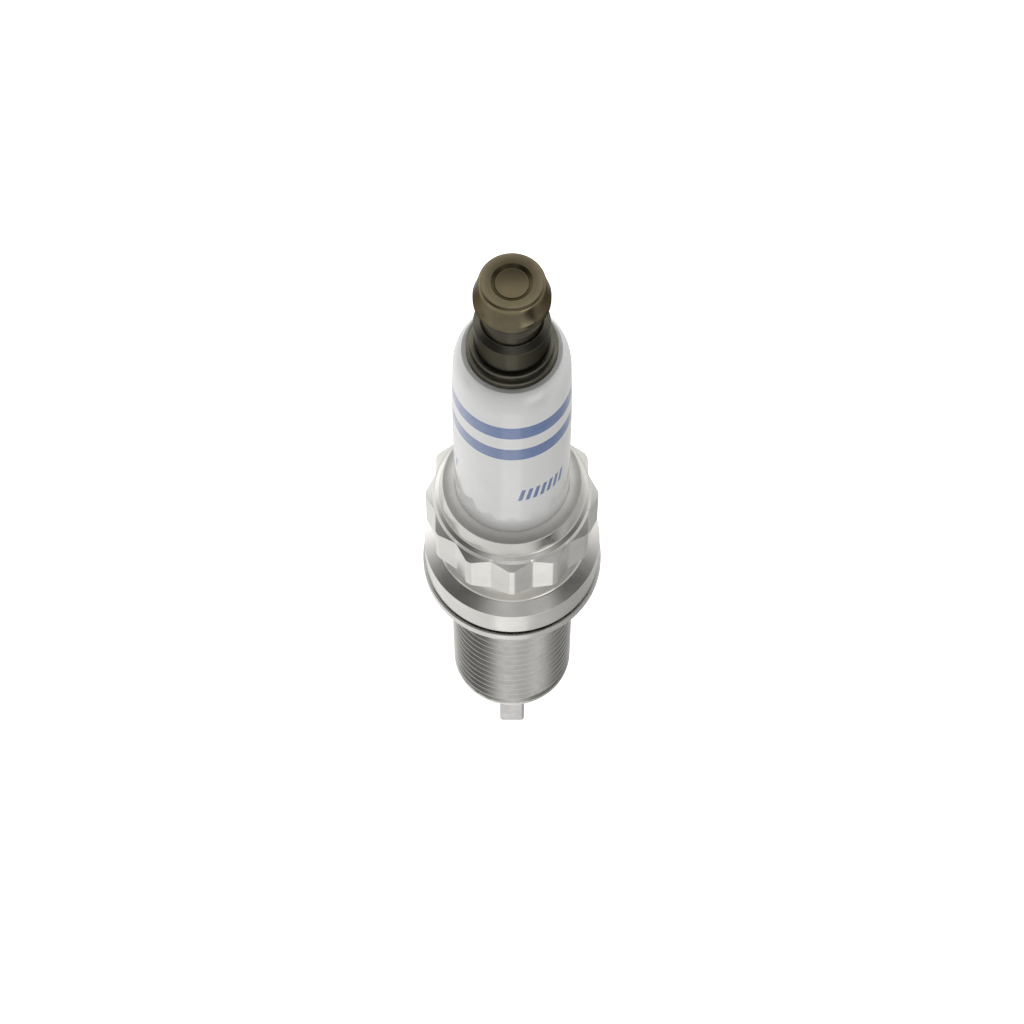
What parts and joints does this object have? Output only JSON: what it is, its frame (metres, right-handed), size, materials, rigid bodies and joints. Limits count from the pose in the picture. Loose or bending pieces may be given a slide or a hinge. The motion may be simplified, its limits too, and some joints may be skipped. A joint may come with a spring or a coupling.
{
  "type": "spark plug",
  "caption": "Slim spark plug with a bullet terminal, a banded white insulator, a 12-point drive, a captive ring gasket, a long thread and a projected firing end.",
  "frame": {"origin": "on the plug's axis, in the plane of the gasket's sealing face", "axes": "+Z along the axis towards the terminal, +Y away from the side that carries the ground electrode's leg"},
  "size_m": [0.017, 0.017, 0.0833],
  "materials": {
    "terminal_plate": "olive passivated plating, satin",
    "stud_plate": "dark passivated plating, satin",
    "glazed_insulator": "clear glaze over white alumina, two fired-on blue bands",
    "satin_nickel": "satin nickel plating",
    "soft_steel": "bare soft steel",
    "seal_glass": "dark metal-filled glass",
    "carbon_glass": "matt black",
    "electrode_alloy": "drawn nickel alloy, satin",
    "copper": "drawn copper",
    "noble_metal": "ground bright"
  },
  "bodies": {
    "plug_body": {"shell": "satin_nickel", "insulator": "glazed_insulator", "terminal_stud": "stud_plate", "seat_washer": "soft_steel", "upper_glass_seal": "seal_glass", "resistor": "carbon_glass", "lower_glass_seal": "seal_glass", "centre_electrode": "electrode_alloy", "centre_electrode_core": "copper", "centre_tip": "noble_metal", "ground_electrode": "electrode_alloy", "ground_electrode_core": "copper", "ground_tip": "noble_metal"},
    "nut": {"terminal_nut": "terminal_plate"},
    "gasket": {"sealing_gasket": "satin_nickel"}
  },
  "joints": [
    {"name": "nut_removal", "type": "slide", "parent": "plug_body", "child": "nut", "axis": [0, 0, 1], "range_m": [0, 0.01]},
    {"name": "gasket_spin", "type": "hinge", "parent": "plug_body", "child": "gasket", "pos_m": [0, 0, 0.00084], "axis": [0, 0, 1], "continuous": true}
  ]
}
